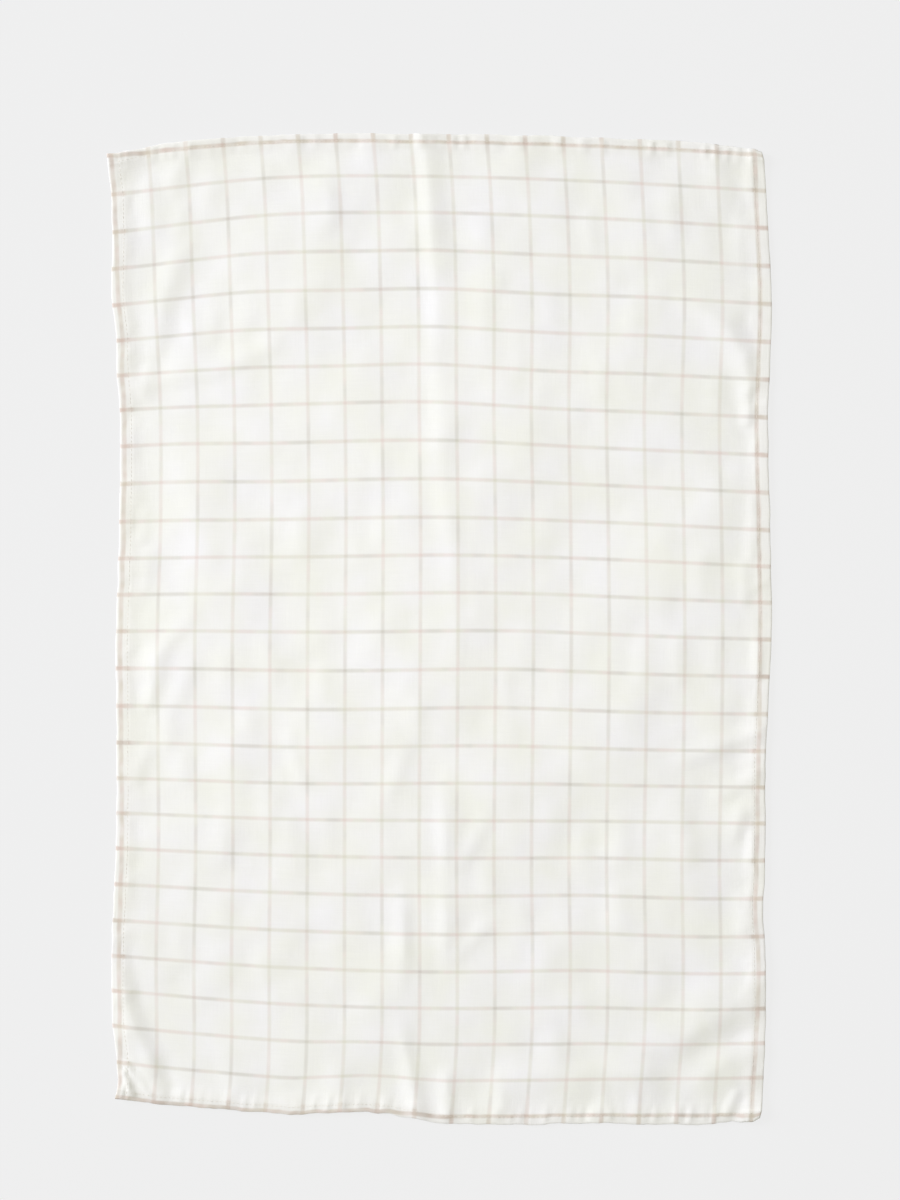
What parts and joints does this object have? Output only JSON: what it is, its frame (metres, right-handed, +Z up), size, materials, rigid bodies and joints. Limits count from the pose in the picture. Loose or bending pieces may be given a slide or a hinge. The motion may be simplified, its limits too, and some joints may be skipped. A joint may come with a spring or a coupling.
{
  "type": "tea towel",
  "caption": "Checked linen tea towel with narrow double-turned hems, laid flat, with a pressed centre fold and small pulls along its hems.",
  "frame": {"origin": "middle of the towel's box, on the surface that it lies on", "axes": "+Z up from the surface through the cloth's face, +Y along the long sides to the top hem, +X along the top hem to the right side"},
  "size_m": [0.4785, 0.7134, 0.0055],
  "materials": {
    "linen": "matt plain weave, white with a thin dusty pink and sand windowpane check"
  },
  "bodies": {
    "root": {"towel": "linen"}
  },
  "joints": []
}
